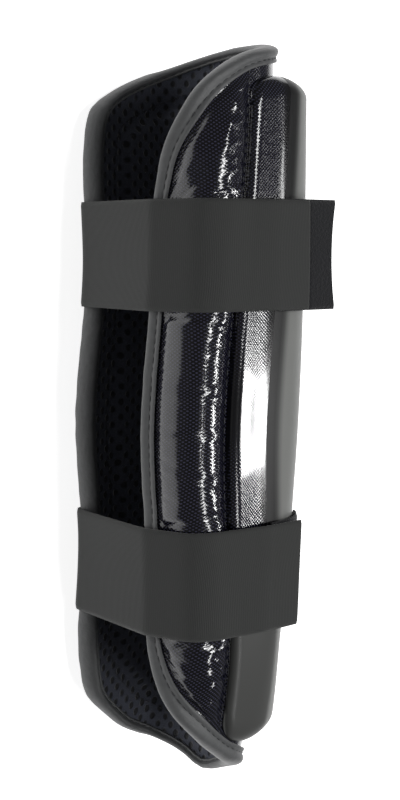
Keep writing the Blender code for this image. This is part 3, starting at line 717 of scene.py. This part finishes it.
def block_shape(turn, height):
    """Depth of the block's base and its thickness there."""
    seam = section_value(height, "seam")
    share = turn * seam
    base = LINING_THICKNESS + GAP + PAD_EDGE + BLOCK_GAP
    start = on_wall(share, height, base)
    out = (on_wall(share, height, base + OUT_STEP) - start) / OUT_STEP
    front = BLOCK_FRONT * section_value(height, "block")
    lean = LEAN * section_value(height, "lean")
    near_side = BLOCK_SIDE + HOLLOW_SIDE * (section_value(height, "near_side") - 1)
    far_side = BLOCK_FAR_SIDE + HOLLOW_SIDE * (section_value(height, "far_side") * FLATTEN - 1)
    low, high = np.zeros(np.shape(turn)), np.full(np.shape(turn), BLOCK_FRONT)
    for _ in range(HALVINGS):
        middle = (low + high) / 2
        x = start[..., 0] + out[..., 0] * middle - lean
        y = start[..., 1] + out[..., 1] * middle
        side = np.where(y < 0, near_side, far_side)
        square = np.where(y < 0, BLOCK_SQUARE, BLOCK_FAR_SQUARE)
        outside = (np.maximum(x, 0) / front) ** square + (np.abs(y) / side) ** square > 1
        low, high = np.where(outside, low, middle), np.where(outside, middle, high)
    bottom, top = block_ends(turn)
    side_inset = (1 - np.abs(turn)) * np.abs(arc_of(np.where(turn < 0, -seam, seam), height))
    end_inset = np.minimum(top - height, height - bottom)
    side_bend = np.clip(1 - side_inset / BLOCK_SIDE_ROUND, 0.0, 1.0)
    end_bend = np.clip(1 - end_inset / BLOCK_END_ROUND, 0.0, 1.0)
    bend = np.clip(side_bend ** 2 + end_bend ** 2, 0.0, 1.0)
    return base, BLOCK_EDGE + np.maximum(low - BLOCK_EDGE, 0.0) * (1 - bend) ** 0.5


def eased(count, ease):
    """Shares from -1 to 1, closer together towards the ends."""
    steps = np.linspace(-1.0, 1.0, count)
    return (1 - ease) * steps + ease * np.sin(steps * pi / 2)


turn = np.broadcast_to(eased(BLOCK_COLUMNS, 0.65), (BLOCK_ROWS, BLOCK_COLUMNS))
bottom, top = block_ends(turn)
height = bottom + (1 + eased(BLOCK_ROWS, 0.8)[:, None]) / 2 * (top - bottom)
share = turn * section_value(height, "seam")
base, thickness = block_shape(turn, height)
arc = arc_of(share, height)
cloth_mm = np.stack((arc * BLOCK_FULLNESS, height), axis=-1) * 1000
firm = smooth_step(thickness / FIRM_FROM)
side_face = smooth_step((np.abs(turn) - WEAVE_FROM) / (WEAVE_TO - WEAVE_FROM))
uneven_foam = (FRONT_RIPPLE + SIDE_RIPPLE * side_face) * firm
thickness = thickness + uneven_foam * ripple(21, arc, height * 0.5, BLOCK_RIPPLE_LENGTH)
front_panel = closed_sheet("front_panel_twill", on_wall(share, height, base),
                           on_wall(share, height, base + thickness), cloth_mm, glossy_twill)
front_panel.data.materials.append(satin_film)
moulded = np.abs(turn[0, :-1] + turn[0, 1:]) / 2 < SATIN_TO
at_ankle = 1 - smooth_step((height - WEAVE_LOWEST) / WEAVE_LOWEST_WITHIN)
outer_quads = (moulded | (at_ankle[:-1, :-1] > 0.5)).ravel().astype(np.int32)
finish_of = np.zeros(len(front_panel.data.polygons), dtype=np.int32)
finish_of[len(outer_quads):2 * len(outer_quads)] = outer_quads
front_panel.data.polygons.foreach_set("material_index", finish_of)
stretched = 1 - STRETCHED_SHARE * np.exp(-((height - STRETCHED_AT) / STRETCHED_REACH) ** 2)
weave_left = side_face * stretched * (1 - at_ankle)
write_share(front_panel, "woven", weave_left)
# Where the painted grey reflection goes: the front face, and a share of it at the ankle end; the rounding
# beside it keeps its painted black shade
front_face = 1 - smooth_step((np.abs(turn) - FACE_FROM) / (FACE_TO - FACE_FROM))
front_face = np.maximum(front_face, ANKLE_FACE * at_ankle)
write_share(front_panel, "front_face", front_face)
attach(front_panel, "root")
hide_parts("front_panel")

# The seam along the block's foot, sewn through the cover, 4.3 mm to a stitch
SEAM_STITCH_OUT = 0.0010
SEAM_STITCH_PITCH = 0.0043
SEAM_STITCH_LENGTH = 0.0032
SEAM_SAMPLES = 260
STITCH_SINK = 0.0001
heights = np.linspace(GUARD_LENGTH * BLOCK_BOTTOM, GUARD_LENGTH * BLOCK_TOP, SEAM_SAMPLES)
seam_share = section_value(heights, "seam")
rows = []
for way in (-1, 1):
    place = share_of(arc_of(way * seam_share, heights) + way * SEAM_STITCH_OUT, heights)
    rows.append(on_wall(place, heights, cover_from + PAD_EDGE + STITCH_SINK))
sew("block_seam_stitches", rows, SEAM_STITCH_PITCH, SEAM_STITCH_LENGTH)


# The rim is bound with a strip of matte dark grey leatherette. It is folded over the edge
# of all the layers, with less of it on the lining's side, and sewn through them near its edges.
BINDING_REACH = 0.0049
BINDING_NOSE = 0.0026
BINDING_INNER = 0.55
BINDING_STATIONS = 620
STITCHED_SAMPLES = 1400
BINDING_STITCH_IN = 0.0029
BINDING_STITCH_PITCH = 0.0043
BINDING_STITCH_LENGTH = 0.0030
FIELD_STITCH_PITCH = 0.0038
FIELD_STITCH_LENGTH = 0.0027
FIELD_STITCH_DEPTH = -0.0002
STITCH_UP = 0.00055
LIP = 0.0003
GATHER_HEIGHT = 0.00018
GATHER_LENGTH = 0.011
GATHER_ABOUT = 0.003
CORNER_EASE = 0.006

# The strip's face beside the rim, as (distance in, height above the cloth): a round bead,
# the groove where the thread pulls it down, and a flat lip
BINDING_FACE = (
    (0.0048, 0.00085), (0.0044, 0.00105), (0.0036, 0.00095), (0.0031, 0.00055), (0.0027, 0.00050),
    (0.0022, 0.00085), (0.0016, 0.00130), (0.0010, 0.00155), (0.0005, 0.00165),
)

leatherette, tree, shader, flat = new_finish("matte_leatherette")
pores = add(tree, "ShaderNodeTexVoronoi", {"Vector": flat.outputs[0]}, Scale=1.3)
mottle = add(tree, "ShaderNodeTexNoise", {"Vector": flat.outputs[0]}, Scale=0.35, Detail=3.0)
tone = add(tree, "ShaderNodeMix", {"Factor": mottle.outputs["Fac"]}, data_type="RGBA")
give(tone, A=linear("#404142"), B=linear("#4f5051"))
tree.links.new(tone.outputs["Result"], shader.inputs["Base Color"])
pulled = add(tree, "ShaderNodeBump", {"Height": mottle.outputs["Fac"]}, Strength=0.4, Distance=0.0006)
leather_grain = add(tree, "ShaderNodeBump",
                    {"Height": pores.outputs["Distance"], "Normal": pulled.outputs[0]},
                    Strength=0.3, Distance=0.0002)
tree.links.new(leather_grain.outputs[0], shader.inputs["Normal"])
give(shader, Roughness=0.55, Sheen_Weight=0.1)

rim_closed = np.vstack((rim_flat, rim_flat[:1]))
rim_run = np.concatenate(((0.0,), np.cumsum(np.linalg.norm(np.diff(rim_closed, axis=0), axis=1))))
rim_length = rim_run[-1]
along = np.linspace(0.0, rim_length, BINDING_STATIONS, endpoint=False)


def rim_places(travelled):
    """Places on the unrolled rim and the way in from it, eased round its corners."""
    spots = [np.column_stack([np.interp((travelled + shift) % rim_length, rim_run, rim_closed[:, k])
                              for k in (0, 1)]) for shift in (-CORNER_EASE, 0.0, CORNER_EASE)]
    heading = spots[2] - spots[0]
    heading /= np.linalg.norm(heading, axis=1)[:, None]
    return spots[0] / 4 + spots[1] / 2 + spots[2] / 4, np.column_stack((-heading[:, 1], heading[:, 0]))


def rim_point(travelled, inset, depth):
    """Points near the rim by length round it, distance in from it and depth."""
    spot, inward = rim_places(travelled)
    flat_place = spot + inward * np.reshape(inset, (-1, 1))
    return on_wall(share_of(flat_place[:, 0], flat_place[:, 1]), flat_place[:, 1], depth)


def binding_profile():
    """Pairs of inset and depth, once round the folded strip."""
    low, high = -GAP, LINING_THICKNESS + PAD_EDGE + 3 * GAP
    middle = (low + high) / 2
    half = (high - low) / 2 + BINDING_FACE[-1][1]
    turned = np.linspace(pi / 2, -pi / 2, 15)
    nose = [(-BINDING_NOSE * np.cos(a), middle + half * np.sin(a)) for a in turned]
    upper = [(inset, high + rise) for inset, rise in BINDING_FACE]
    lower = [(inset * BINDING_INNER, 2 * middle - depth) for inset, depth in upper[::-1]]
    inner_reach = BINDING_REACH * BINDING_INNER
    inside = [(inner_reach, low - LIP), (inner_reach, low), (0.0, low),
              (-BINDING_NOSE * 0.5, middle), (0.0, high), (BINDING_REACH, high)]
    return upper + nose + lower + inside + [(BINDING_REACH, high + LIP)]


profile = np.array(binding_profile())
gathers = ripple(31, along, along * 0, GATHER_LENGTH)
rings = np.array([rim_point(along, inset, depth + GATHER_HEIGHT * gathers * np.sign(depth - GATHER_ABOUT))
                  for inset, depth in profile])
rings = np.moveaxis(rings, 0, 1)
stations, corners = rings.shape[:2]
index = np.arange(stations * corners).reshape(stations, corners)
following = np.roll(index, -1, axis=0)
faces = np.stack((index, np.roll(index, -1, axis=1), np.roll(following, -1, axis=1), following), axis=-1)
profile_run = np.concatenate(((0.0,), np.cumsum(np.linalg.norm(np.diff(profile, axis=0), axis=1))))
cloth_mm = np.stack(np.broadcast_arrays(along[:, None], profile_run[None, :]), axis=-1) * 1000
edge_binding = mesh_object("edge_binding_strip", rings.reshape(-1, 3), faces.reshape(-1, 4).tolist(),
                           cloth_mm.reshape(-1, 2), leatherette)
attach(edge_binding, "root")
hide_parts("edge_binding")

# One row of stitches on each face of the strip, and one in the lining's margin that holds it
# to the foam round its field
FIELD_STITCH_INSET = LINING_MARGIN - 0.0045
face_high = LINING_THICKNESS + PAD_EDGE + 3 * GAP + STITCH_UP
stitched = np.linspace(0.0, rim_length, STITCHED_SAMPLES)
both_faces = [rim_point(stitched, BINDING_STITCH_IN, face_high),
              rim_point(stitched, BINDING_STITCH_IN * BINDING_INNER, -GAP - STITCH_UP)]
sew("binding_stitches", both_faces, BINDING_STITCH_PITCH, BINDING_STITCH_LENGTH)
field_row = rim_point(stitched, FIELD_STITCH_INSET, FIELD_STITCH_DEPTH)
sew("lining_stitches", [field_row], FIELD_STITCH_PITCH, FIELD_STITCH_LENGTH)


# Two bands of charcoal elastic, 50 mm wide, are sewn to the front block and stretched round
# the guard. Fine ribs run across them. Each comes back to the front over its patch of closure tape.
STRAP_THICKNESS = 0.0016
STRAP_SEAT = 0.0005
TAPE_THICKNESS = 0.0020
TAPE_WIDTH = 0.051
STRAP_START = radians(-30)
STRAP_LIFTS = radians(262)
STRAP_LEAVES = radians(284)
STRAP_TAIL = 0.017
STRAP_STATIONS = 260
STRAP_ROWS = 27
PATH_SAMPLES = 1441
LEVEL_SAMPLES = 401
TAIL_STATIONS = 16
BEND_SAMPLES = 31
TURN_EASE = 23

# Woven elastic: matte polyester yarn over rubber, with a rib every 1 mm across the band.
# The eye sees fine upright lines and a dull grey bloom at low angles.
RIB_PITCH_MM = 1.0
woven_elastic, tree, shader, flat = new_finish("woven_ribbed_elastic")
rib = add(tree, "ShaderNodeTexWave", {"Vector": flat.outputs[0]}, Scale=1 / RIB_PITCH_MM * WAVE_SCALE,
          Distortion=0.6, Detail=1.0)
thread = add(tree, "ShaderNodeMapping", {"Vector": flat.outputs[0]}, Scale=(1.0, 2.2, 1.0))
fuzz = add(tree, "ShaderNodeTexNoise", {"Vector": thread.outputs[0]}, Scale=1.2, Detail=3.0)
ribbed = add(tree, "ShaderNodeMix", {"Factor": rib.outputs["Fac"]}, data_type="RGBA")
give(ribbed, A=linear("#262727"), B=linear("#313231"))
uneven_yarn = add(tree, "ShaderNodeMix", {"Factor": fuzz.outputs["Fac"], "A": ribbed.outputs["Result"]},
                  data_type="RGBA")
give(uneven_yarn, B=linear("#2a2b2a"))
tree.links.new(uneven_yarn.outputs["Result"], shader.inputs["Base Color"])
ribs_up = add(tree, "ShaderNodeBump", {"Height": rib.outputs["Fac"]}, Strength=0.3, Distance=0.0002)
yarn_up = add(tree, "ShaderNodeBump", {"Height": fuzz.outputs["Fac"], "Normal": ribs_up.outputs[0]},
              Strength=0.4, Distance=0.0002)
tree.links.new(yarn_up.outputs[0], shader.inputs["Normal"])
give(shader, Roughness=0.9, Sheen_Weight=0.15, Sheen_Roughness=0.4)


def cross(a, b, c):
    return (b[0] - a[0]) * (c[1] - a[1]) - (b[1] - a[1]) * (c[0] - a[0])


def convex_outline(points):
    """Corners of the tightest band round a set of points, anticlockwise."""
    ordered = sorted(set(map(tuple, np.round(points, 7))))

    def half(sequence):
        chain = []
        for point in sequence:
            while len(chain) > 1 and cross(chain[-2], chain[-1], point) <= 0:
                chain.pop()
            chain.append(point)
        return chain[:-1]

    return np.array(half(ordered) + half(ordered[::-1]))


class Band:
    """A tight path round the guard at one height, by the angle about the hollow."""

    def __init__(self, height):
        seam = section_value(height, "seam")
        share = np.linspace(-1.0, 1.0, LEVEL_SAMPLES)
        level = np.full(share.shape, height)
        inset = rim_inset(share, level)
        depth = cover_from + cover_depth(share, level, inset)
        base, thickness = block_shape(np.clip(share / seam, -1.0, 1.0), level)
        depth = np.where(np.abs(share) <= seam, base + thickness + 0.0003, depth)
        points = [on_wall(share, level, depth)]
        for inset, depth in binding_profile():
            for edge, way in ((-1.0, 1.0), (1.0, -1.0)):
                past_edge = arc_of(edge, height) + way * inset
                points.append(on_wall([share_of(past_edge, height)], [height], [depth]))
        outline = convex_outline(np.vstack(points)[:, :2])
        self.lean = float(LEAN * section_value(height, "lean"))
        centred = outline - (self.lean, 0.0)
        bearing = np.unwrap(np.arctan2(centred[:, 1], centred[:, 0]))
        closed = np.vstack((centred, centred[:1]))
        bearing = np.append(bearing, bearing[0] + 2 * pi)
        self.angles = np.linspace(STRAP_START, STRAP_START + 2 * pi, PATH_SAMPLES)
        turned = (self.angles - bearing[0]) % (2 * pi) + bearing[0]
        taut = np.column_stack([np.interp(turned, bearing, closed[:, k]) for k in (0, 1)])
        self.places = smoothed(taut, np.hanning(BEND_SAMPLES), taut[-BEND_SAMPLES // 2:-1],
                               taut[1:BEND_SAMPLES // 2 + 1])
        heading = np.gradient(self.places, axis=0)
        ends = [np.repeat(heading[k][None], TURN_EASE // 2, axis=0) for k in (0, -1)]
        heading = smoothed(heading, np.hanning(TURN_EASE), *ends)
        length = np.linalg.norm(heading, axis=1)
        self.out = np.column_stack((heading[:, 1], -heading[:, 0])) / length[:, None]
        self.travelled = np.cumsum(length)

    def spaced(self, start, end, count):
        """Angles at even lengths from one angle to another."""
        ends = np.interp((start, end), self.angles, self.travelled)
        return np.interp(np.linspace(ends[0], ends[1], count), self.travelled, self.angles)

    def point(self, angles, depths):
        turned = (np.asarray(angles) - STRAP_START) % (2 * pi) + STRAP_START
        place, out = (np.column_stack([np.interp(turned, self.angles, data[:, k]) for k in (0, 1)])
                      for data in (self.places, self.out))
        out /= np.linalg.norm(out, axis=1)[:, None]
        return place + (self.lean, 0.0) + out * np.reshape(depths, (-1, 1))


def strap_net(centre, width, rows, path):
    """Inner and outer nets of a band, with rolled selvedges, and their places on the flat band."""
    inner, outer, flat = [], [], []
    for across in np.linspace(-0.5, 0.5, rows):
        height = centre + width * across
        edge = smooth_step((0.5 - abs(across)) / 0.03)
        faces = path(height, edge)
        run = np.concatenate(((0.0,), np.cumsum(np.linalg.norm(np.diff(faces[1], axis=0), axis=1))))
        for net, face in zip((inner, outer), faces):
            net.append(np.column_stack((face, np.full(len(face), height))))
        flat.append(np.column_stack((run, np.full(len(run), width * across))) * 1000)
    return np.array(inner), np.array(outer), np.array(flat)


bands = {}


def band_at(height):
    key = round(float(height), 6)
    if key not in bands:
        bands[key] = Band(height)
    return bands[key]


def strap_faces(height, edge):
    band = band_at(height)
    angles = band.spaced(STRAP_START, STRAP_LEAVES, STRAP_STATIONS)
    lift = (TAPE_THICKNESS + GAP) * smooth_step((angles - STRAP_LIFTS) / (STRAP_LEAVES - STRAP_LIFTS))
    middle = STRAP_SEAT + lift + STRAP_THICKNESS / 2
    half = STRAP_THICKNESS / 2 * (0.45 + 0.55 * edge)
    faces = [band.point(angles, middle + side * half) for side in (-1, 1)]
    tail = np.linspace(0.0, STRAP_TAIL, TAIL_STATIONS)[1:, None] * (1.0, 0.0)
    return [np.vstack((face, face[-1] + tail)) for face in faces]


for name, at in (("upper_strap", UPPER_STRAP_AT), ("lower_strap", LOWER_STRAP_AT)):
    inner, outer, cloth_mm = strap_net(GUARD_LENGTH * at, STRAP_WIDTH, STRAP_ROWS, strap_faces)
    strap = closed_sheet(name + "_elastic", inner, outer, cloth_mm, woven_elastic)
    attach(strap, "root")
    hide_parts(name)


# Under each band's loose end is black hook-and-loop tape. The upper one stands straight
# forward past the band, and the lower one lies on the block under its band.
UPPER_TAPE_LENGTH = 0.036
TAPE_CURVE = 0.0026
TAPE_STATIONS = 70

# A hem stands up beside the band's end: how far past it, how wide and how high
TAPE_HEM_AT = 0.0012
TAPE_HEM_WIDTH = 0.0009
TAPE_HEM_DEPTH = 0.0012
LOWER_TAPE_END = radians(-38)

# Napped nylon loop: a dense black pile of curled fibre that swallows light.
loop_pile, tree, shader, flat = new_finish("napped_nylon_loop")
curl = add(tree, "ShaderNodeTexVoronoi", {"Vector": flat.outputs[0]}, Scale=1.6)
clump = add(tree, "ShaderNodeTexNoise", {"Vector": flat.outputs[0]}, Scale=0.7, Detail=4.0)
pile = add(tree, "ShaderNodeMix", {"Factor": clump.outputs["Fac"]}, data_type="RGBA")
give(pile, A=linear("#08080a"), B=linear("#1c1d21"))
tree.links.new(pile.outputs["Result"], shader.inputs["Base Color"])
clumped = add(tree, "ShaderNodeBump", {"Height": clump.outputs["Fac"]}, Strength=0.8, Distance=0.0008)
curled = add(tree, "ShaderNodeBump", {"Height": curl.outputs["Distance"], "Normal": clumped.outputs[0]},
             Strength=0.6, Distance=0.0004)
tree.links.new(curled.outputs[0], shader.inputs["Normal"])
give(shader, Roughness=1.0, Sheen_Weight=0.1)


def tape_depth(side, edge):
    """Depth of a tape's face, thinner towards its two long edges."""
    return STRAP_SEAT + TAPE_THICKNESS / 2 * (1 + side * (0.3 + 0.6 * edge))


def upper_tape_faces(height, edge):
    band = band_at(height)
    across = (height - GUARD_LENGTH * UPPER_STRAP_AT) / (TAPE_WIDTH / 2)
    ahead = np.linspace(0.0, UPPER_TAPE_LENGTH - TAPE_CURVE * (1 - across ** 2), TAPE_STATIONS)
    hem = TAPE_HEM_DEPTH * np.exp(-((ahead - STRAP_TAIL - TAPE_HEM_AT) / TAPE_HEM_WIDTH) ** 2)
    faces = []
    for side in (-1, 1):
        root = band.point([STRAP_LEAVES], tape_depth(side, edge))[0]
        faces.append(root + np.column_stack((ahead, hem if side > 0 else 0 * ahead)))
    return faces


def lower_tape_faces(height, edge):
    band = band_at(height)
    angles = band.spaced(STRAP_LEAVES, LOWER_TAPE_END + 2 * pi, TAPE_STATIONS)
    return [band.point(angles, tape_depth(side, edge)) for side in (-1, 1)]


for name, at, path in (("upper_closure_tape", UPPER_STRAP_AT, upper_tape_faces),
                       ("lower_closure_tape", LOWER_STRAP_AT, lower_tape_faces)):
    inner, outer, cloth_mm = strap_net(GUARD_LENGTH * at, TAPE_WIDTH, STRAP_ROWS, path)
    tape = closed_sheet(name + "_pile", inner, outer, cloth_mm, loop_pile)
    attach(tape, "root")
    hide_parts(name)


# The camera stands where the photo was taken. The table is pale and glows softly, and small
# soft lights stand where the glossy cover mirrors them to the camera.
PHOTO_HEIGHT_PX = 800
PHOTO_MIDDLE_PX = (200, 400)
GUARD_COLUMN_PX = 205
LEVEL_ROW_PX = 244
CAMERA_FOCAL_PX = 1370.4
CAMERA_DISTANCE = 0.600
CAMERA_HEIGHT = 0.2630
CAMERA_AIM = radians(40.5)
SENSOR_MM = 36.0
camera_near = np.array((-0.02734, -0.04383, CAMERA_HEIGHT))
camera_tilt = atan((PHOTO_MIDDLE_PX[1] - LEVEL_ROW_PX) / CAMERA_FOCAL_PX)
level = np.array((np.sin(CAMERA_AIM), np.cos(CAMERA_AIM), 0.0))
right = np.array((level[1], -level[0], 0.0))
look = level * np.cos(camera_tilt) - np.array((0, 0, 1.0)) * np.sin(camera_tilt)
above = np.cross(right, look)
aside = (GUARD_COLUMN_PX - PHOTO_MIDDLE_PX[0]) / CAMERA_FOCAL_PX * CAMERA_DISTANCE
spot = camera_near - level * CAMERA_DISTANCE - right * aside
axes = np.array((right, above, -look)) @ laid_turn.T
camera_data = bpy.data.cameras.new("photo_camera")
camera_data.sensor_fit = "VERTICAL"
camera_data.sensor_height = SENSOR_MM
camera_data.lens = CAMERA_FOCAL_PX * np.cos(camera_tilt) / PHOTO_HEIGHT_PX * SENSOR_MM
camera_data.clip_start = 0.01
camera = bpy.data.objects.new("photo_camera", camera_data)
pose = Matrix(axes.T.tolist()).to_4x4()
pose.translation = laid([spot])[0]
camera.matrix_world = pose
bpy.context.scene.collection.objects.link(camera)
bpy.context.scene.camera = camera

TABLE_GLOW = 0.85
TABLE_HALF = 6.0

# A plain matte painted board, lit from inside like a photographer's light table.
table_finish = bpy.data.materials.new("pale_table")
table_finish.use_nodes = True
shader = table_finish.node_tree.nodes["Principled BSDF"]
give(shader, Base_Color=linear("#f4f4f4"), Roughness=0.9, Emission_Color=(1.0, 1.0, 1.0, 1.0),
     Emission_Strength=TABLE_GLOW)
table_mesh = bpy.data.meshes.new("table")
corners = [(x * TABLE_HALF, y * TABLE_HALF, 0) for x, y in ((-1, -1), (1, -1), (1, 1), (-1, 1))]
table_mesh.from_pydata(corners, [], [(0, 1, 2, 3)])
table_mesh.materials.append(table_finish)
table = bpy.data.objects.new("table", table_mesh)
bpy.context.scene.collection.objects.link(table)

# The room looks white but lights the guard dimly, so that the gloss shows the lights alone
HORIZON_LIGHT = 0.15
CEILING_LIGHT = 0.12
WHITE_BELOW = np.sin(radians(1))
DIM_ABOVE = np.sin(radians(5))
world = bpy.data.worlds.new("studio")
world.use_nodes = True
tree = world.node_tree
toward = add(tree, "ShaderNodeTexCoord")
parts = add(tree, "ShaderNodeSeparateXYZ", {0: toward.outputs["Generated"]})
strength = add(tree, "ShaderNodeMapRange", {"Value": parts.outputs["Z"]}, From_Min=WHITE_BELOW,
               From_Max=DIM_ABOVE, To_Min=HORIZON_LIGHT, To_Max=CEILING_LIGHT)
seen = add(tree, "ShaderNodeLightPath")
shown = add(tree, "ShaderNodeMix", {"Factor": seen.outputs["Is Camera Ray"], "A": strength.outputs[0]},
            data_type="FLOAT")
give(shown, B=1.0)
tree.links.new(shown.outputs[0], tree.nodes["Background"].inputs["Strength"])
tree.nodes["Background"].inputs["Color"].default_value = (1.0, 1.0, 1.0, 1.0)
bpy.context.scene.world = world


def soft_light(name, place, aim, size, power, roll=0.0):
    """A soft light at a place of the standing guard, aimed at another. Its first side runs up the guard."""
    data = bpy.data.lights.new(name, "AREA")
    data.shape = "RECTANGLE"
    data.size, data.size_y = size
    data.energy = power
    lamp = bpy.data.objects.new(name, data)
    start, end = (Vector(laid([point])[0]) for point in (place, aim))
    facing = (end - start).to_track_quat("-Z", "Y").to_matrix().to_4x4()
    lamp.matrix_world = Matrix.Translation(start) @ facing @ Matrix.Rotation(radians(roll), 4, "Z")
    bpy.context.scene.collection.objects.link(lamp)


FOCUS = (0.0, -0.045, 0.20)
soft_light("light_front", (0.715, -0.80, 0.032), FOCUS, (0.125, 0.115), 2.6, 15)
soft_light("light_ridge", (0.65, -0.86, 0.19), FOCUS, (0.14, 0.10), 0.5)
soft_light("light_streak", (0.84, -0.62, 0.34), FOCUS, (0.09, 0.05), 0.22)
soft_light("light_knee", (0.03, -1.05, 0.42), FOCUS, (0.14, 0.36), 4.5)
soft_light("light_ankle", (0.00, -1.05, -0.28), FOCUS, (0.14, 0.40), 4.0)
soft_light("light_fill", (-1.15, -0.45, 0.25), FOCUS, (0.8, 0.8), 0.1)

bpy.context.scene.view_settings.view_transform = "Standard"
